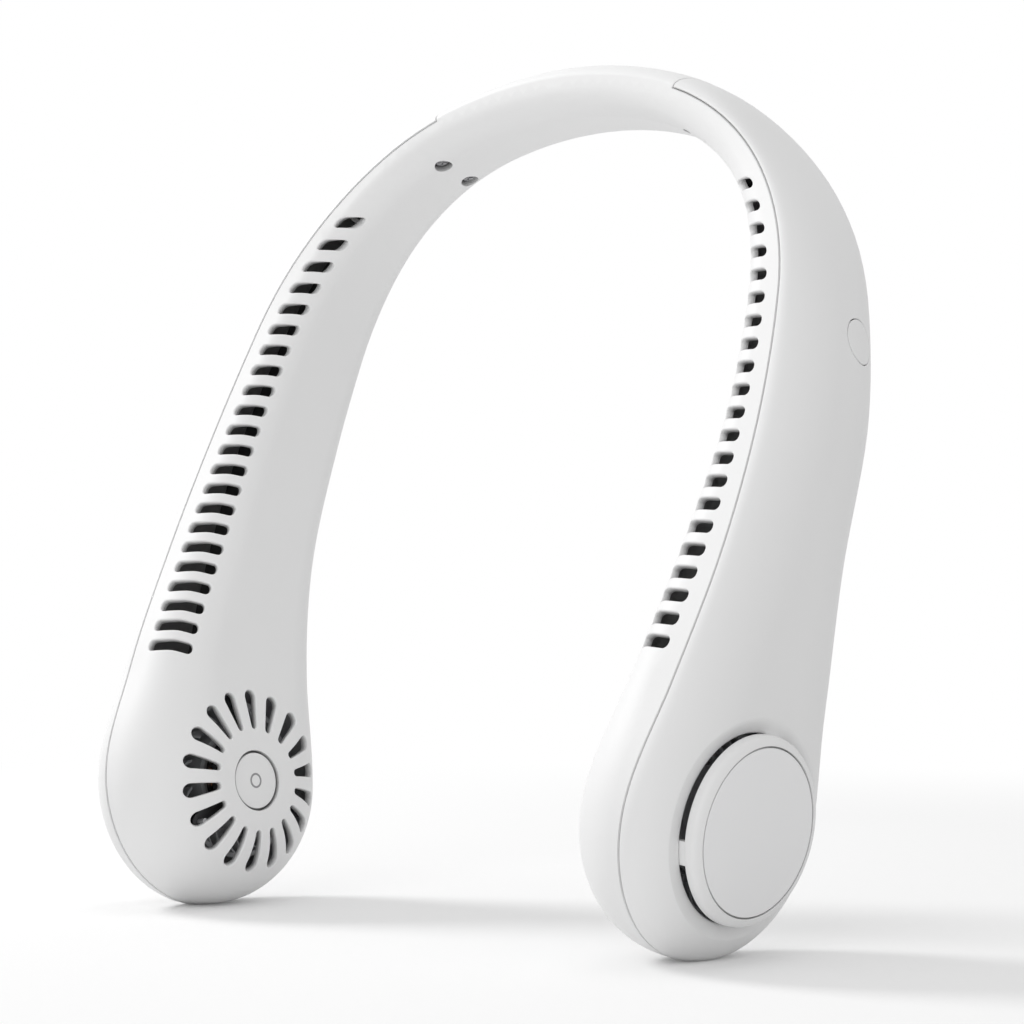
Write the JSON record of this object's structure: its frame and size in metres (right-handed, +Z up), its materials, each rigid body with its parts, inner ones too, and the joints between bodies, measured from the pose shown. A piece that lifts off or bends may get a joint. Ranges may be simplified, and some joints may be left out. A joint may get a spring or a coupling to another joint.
{
  "type": "electric neck fan",
  "caption": "Bladeless neck fan: a white horseshoe band with round fan pods at both ends, rows of air slots along the arms and a push button.",
  "frame": {"origin": "on the floor under the standing fan, midway across the span and midway from the front of the pods to the back of the band", "axes": "+X towards the arm with the power button, +Y from the pods to the back of the band, +Z up"},
  "size_m": [0.204, 0.1026, 0.2168],
  "materials": {
    "white_plastic": "fine matte moulded",
    "grey_plastic": "fine matte moulded",
    "fan_plastic": "moulded",
    "dark_plastic": "moulded",
    "steel": "plated",
    "lamination_steel": "stacked sheets",
    "copper": "enamelled wire",
    "ferrite": "sintered",
    "battery_foil": "foil pouch",
    "board": "solder mask",
    "cable_rubber": "matte sleeve"
  },
  "bodies": {
    "casing": {"inner_frame": "white_plastic", "outer_cover_right": "white_plastic", "outer_cover_left": "white_plastic", "intake_cap_right": "white_plastic", "intake_cap_left": "white_plastic", "cap_disc_right": "grey_plastic", "cap_disc_left": "grey_plastic", "grille_badge_right": "white_plastic", "grille_badge_left": "white_plastic", "motor_plate_right": "dark_plastic", "motor_plate_left": "dark_plastic", "motor_bearings_right": "steel", "motor_bearings_left": "steel", "motor_screws_right": "steel", "motor_screws_left": "steel", "stator_core_right": "lamination_steel", "stator_core_left": "lamination_steel", "stator_coils_right": "copper", "stator_coils_left": "copper", "volute_right": "fan_plastic", "volute_left": "fan_plastic", "duct_wall_right": "fan_plastic", "duct_wall_left": "fan_plastic", "battery_right": "battery_foil", "battery_left": "battery_foil", "case_screws": "steel", "tactile_switch": "dark_plastic", "control_board": "board", "charging_socket": "steel", "board_screws": "steel", "band_harness": "cable_rubber"},
    "fan_right": {"impeller_right": "fan_plastic", "rotor_cup_right": "steel", "rotor_magnet_right": "ferrite", "motor_shaft_right": "steel"},
    "fan_left": {"impeller_left": "fan_plastic", "rotor_cup_left": "steel", "rotor_magnet_left": "ferrite", "motor_shaft_left": "steel"},
    "button": {"power_button": "white_plastic", "switch_plunger": "dark_plastic"}
  },
  "joints": [
    {"name": "fan_right_spin", "type": "hinge", "parent": "casing", "child": "fan_right", "pos_m": [0.08583, -0.01955, 0.03111], "axis": [0.9898, -0.0203, -0.1412], "continuous": true},
    {"name": "fan_left_spin", "type": "hinge", "parent": "casing", "child": "fan_left", "pos_m": [-0.08583, -0.01955, 0.03111], "axis": [-0.9898, -0.0203, -0.1412], "continuous": true},
    {"name": "power_button_press", "type": "slide", "parent": "casing", "child": "button", "axis": [-0.9892, -0.0209, -0.1453], "range_m": [0, 0.0005], "stiffness_N_per_m": 3000}
  ]
}
